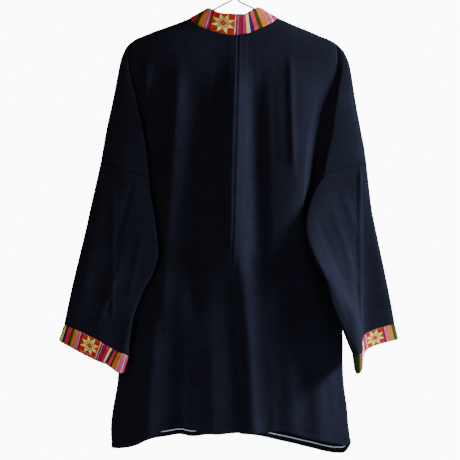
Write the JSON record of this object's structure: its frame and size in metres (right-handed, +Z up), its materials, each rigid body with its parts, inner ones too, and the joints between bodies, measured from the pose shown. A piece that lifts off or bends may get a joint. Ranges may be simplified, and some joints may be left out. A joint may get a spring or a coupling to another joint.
{
  "type": "jacket on a wire hanger",
  "caption": "Long-sleeved cotton jacket with dropped shoulders, a stand collar and cuffs of striped woven band, hung with its back to the viewer on a bent wire hanger.",
  "frame": {"origin": "inside top of the hanger's hook, where a rod would carry it", "axes": "+Z up, along the length of the jacket; -Y is the side of the jacket's back, +Y of its front; +X to the right as its back is seen"},
  "size_m": [0.6452, 0.0961, 0.951],
  "materials": {
    "back_left": "near-black navy plain-woven cotton, matt",
    "back_right": "near-black navy plain-woven cotton, matt",
    "front_left": "near-black navy plain-woven cotton, matt",
    "front_right": "near-black navy plain-woven cotton, matt",
    "sleeve_left": "near-black navy plain-woven cotton, matt",
    "sleeve_right": "near-black navy plain-woven cotton, matt",
    "collar": "striped woven band with a star panel, mostly red",
    "cuff_left": "striped woven band with a star panel, mostly red",
    "cuff_right": "striped woven band with a star panel, mostly red",
    "hanger": "grey steel wire"
  },
  "bodies": {
    "root": {"back_left": "back_left", "back_right": "back_right", "front_left": "front_left", "front_right": "front_right", "sleeve_left": "sleeve_left", "sleeve_right": "sleeve_right", "collar": "collar", "cuff_left": "cuff_left", "cuff_right": "cuff_right", "hanger": "hanger"}
  },
  "joints": []
}
